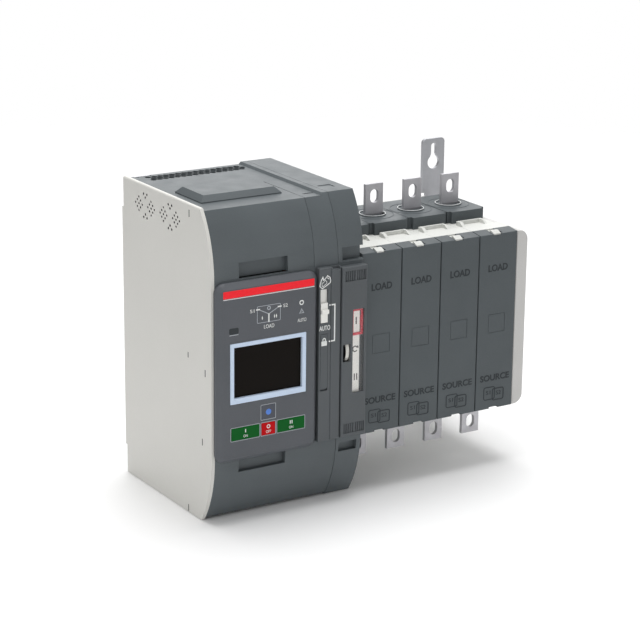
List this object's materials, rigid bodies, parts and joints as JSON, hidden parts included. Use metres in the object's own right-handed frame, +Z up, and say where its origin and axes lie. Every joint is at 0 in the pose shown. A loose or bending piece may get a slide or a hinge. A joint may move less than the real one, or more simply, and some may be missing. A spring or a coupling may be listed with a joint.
{
  "type": "automatic transfer switch",
  "caption": "Panel-mounted automatic transfer switch: a curved control housing with display, keys and position indicator beside a bank of moulded poles with bolted terminals.",
  "frame": {"origin": "on the mounting plane, at the middle of the mounting hole pattern", "axes": "+X to the right seen from the front, +Y towards the mounting panel, +Z up"},
  "size_m": [0.3295, 0.1624, 0.2679],
  "materials": {
    "side_plate": "fine texture powder coat",
    "housing": "fine spark texture",
    "panel_plastic": "satin",
    "black_plastic": "matte",
    "display_frame": "satin",
    "display_glass": "gloss",
    "green_key": "satin membrane",
    "red_key": "satin membrane",
    "auto_key": "satin membrane",
    "console_plastic": "fine texture",
    "light_plastic": "satin",
    "scale_plastic": "satin",
    "red_indicator": "satin",
    "clear_window": "clear",
    "pole_frame": "satin",
    "pole_dark": "fine texture",
    "end_cover": "satin",
    "plated_copper": "tin plated",
    "contact_copper": "silver tipped copper",
    "rotor_plastic": "matte",
    "zinc_plate": "zinc plated",
    "board": "solder mask",
    "terminal_green": "satin",
    "coil": "wound wire",
    "steel": "machined",
    "dark_steel": "blackened, with a light band on the rim"
  },
  "bodies": {
    "root": {"base_plate": "zinc_plate", "chassis": "housing", "control_board": "board", "control_terminals": "terminal_green", "display_frame": "display_frame", "display_lens": "display_glass", "display_module": "black_plastic", "end_cover": "end_cover", "hmi_bezel": "panel_plastic", "hmi_board": "board", "hmi_rear_shell": "black_plastic", "indicator_panel": "console_plastic", "indicator_scale": "scale_plastic", "indicator_window": "clear_window", "load_terminals": "plated_copper", "lower_cover": "housing", "mechanism_frame": "steel", "mechanism_lower_cover": "housing", "mechanism_upper_cover": "housing", "pole_body_1": "pole_frame", "pole_body_2": "pole_frame", "pole_body_3": "pole_frame", "pole_body_4": "pole_frame", "pole_cover_1": "pole_dark", "pole_cover_2": "pole_dark", "pole_cover_3": "pole_dark", "pole_cover_4": "pole_dark", "rocker_pin": "steel", "selector_console": "console_plastic", "side_plate_left": "side_plate", "solenoid_coils": "coil", "source_1_terminals": "plated_copper", "source_2_terminals": "plated_copper", "terminal_block_1": "pole_dark", "terminal_block_2": "pole_dark", "terminal_block_3": "pole_dark", "terminal_block_4": "pole_dark", "tie_rods": "steel", "upper_cover": "housing"},
    "source_1_drive": {"source_1_shaft": "steel", "source_1_crank": "steel", "indicator_arm": "steel", "source_1_rotors": "rotor_plastic", "source_1_contacts": "contact_copper"},
    "source_2_drive": {"source_2_shaft": "steel", "source_2_crank": "steel", "source_2_rotors": "rotor_plastic", "source_2_contacts": "contact_copper"},
    "coupling_link": {"coupling_link": "steel"},
    "manual_link": {"manual_link": "steel"},
    "drive_rocker": {"manual_drive_rocker": "dark_steel"},
    "armature": {"solenoid_armature": "steel"},
    "indicator": {"position_indicator": "red_indicator"},
    "selector": {"mode_selector": "light_plastic"},
    "padlock_tab": {"padlock_tab": "console_plastic"},
    "handle": {"manual_handle": "console_plastic"},
    "key_source_1": {"key_source_1": "green_key"},
    "key_off": {"key_off": "red_key"},
    "key_source_2": {"key_source_2": "green_key"},
    "key_auto": {"key_auto": "auto_key"}
  },
  "joints": [
    {"name": "source_1_turn", "type": "hinge", "parent": "root", "child": "source_1_drive", "pos_m": [-0.0375, -0.09575, 0.00025], "axis": [1, 0, 0], "range_deg": [0, 54]},
    {"name": "source_2_turn", "type": "hinge", "parent": "root", "child": "source_2_drive", "pos_m": [-0.0375, -0.05525, 0.00025], "axis": [1, 0, 0], "range_deg": [0, 54]},
    {"name": "coupling_link_swing", "type": "hinge", "parent": "source_1_drive", "child": "coupling_link", "pos_m": [-0.0375, -0.08985, 0.01183], "axis": [1, 0, 0], "range_deg": [-54, 0]},
    {"name": "manual_link_swing", "type": "hinge", "parent": "source_1_drive", "child": "manual_link", "pos_m": [-0.0445, -0.10301, -0.01401], "axis": [1, 0, 0], "range_deg": [-54, 0]},
    {"name": "rocker_turn", "type": "hinge", "parent": "root", "child": "drive_rocker", "pos_m": [-0.0425, -0.1454, 0.00025], "axis": [1, 0, 0], "range_deg": [0, 54]},
    {"name": "armature_slide", "type": "slide", "parent": "root", "child": "armature", "axis": [0, 0, 1], "range_m": [-0.01367, 0]},
    {"name": "indicator_slide", "type": "slide", "parent": "root", "child": "indicator", "axis": [0, 0, 1], "range_m": [-0.04908, 0]},
    {"name": "selector_slide", "type": "slide", "parent": "root", "child": "selector", "axis": [0, 0, 1], "range_m": [0, 0.0114]},
    {"name": "padlock_pull", "type": "slide", "parent": "root", "child": "padlock_tab", "axis": [0, -1, 0], "range_m": [0, 0.012]},
    {"name": "handle_pull", "type": "slide", "parent": "root", "child": "handle", "axis": [0, -1, 0], "range_m": [0, 0.045]},
    {"name": "key_source_1_press", "type": "slide", "parent": "root", "child": "key_source_1", "axis": [0, 1, 0], "range_m": [0, 0.0006]},
    {"name": "key_off_press", "type": "slide", "parent": "root", "child": "key_off", "axis": [0, 1, 0], "range_m": [0, 0.0006]},
    {"name": "key_source_2_press", "type": "slide", "parent": "root", "child": "key_source_2", "axis": [0, 1, 0], "range_m": [0, 0.0006]},
    {"name": "key_auto_press", "type": "slide", "parent": "root", "child": "key_auto", "axis": [0, 1, 0], "range_m": [0, 0.0006]}
  ],
  "couplings": [
    {"joint": "source_2_turn", "follows": "source_1_turn", "ratio": 1},
    {"joint": "rocker_turn", "follows": "source_1_turn", "ratio": 1},
    {"joint": "coupling_link_swing", "follows": "source_1_turn", "ratio": -1},
    {"joint": "manual_link_swing", "follows": "source_1_turn", "ratio": -1},
    {"joint": "armature_slide", "follows": "source_1_turn", "m_per_rad": -0.01445},
    {"joint": "indicator_slide", "follows": "source_1_turn", "m_per_rad": -0.05202}
  ]
}
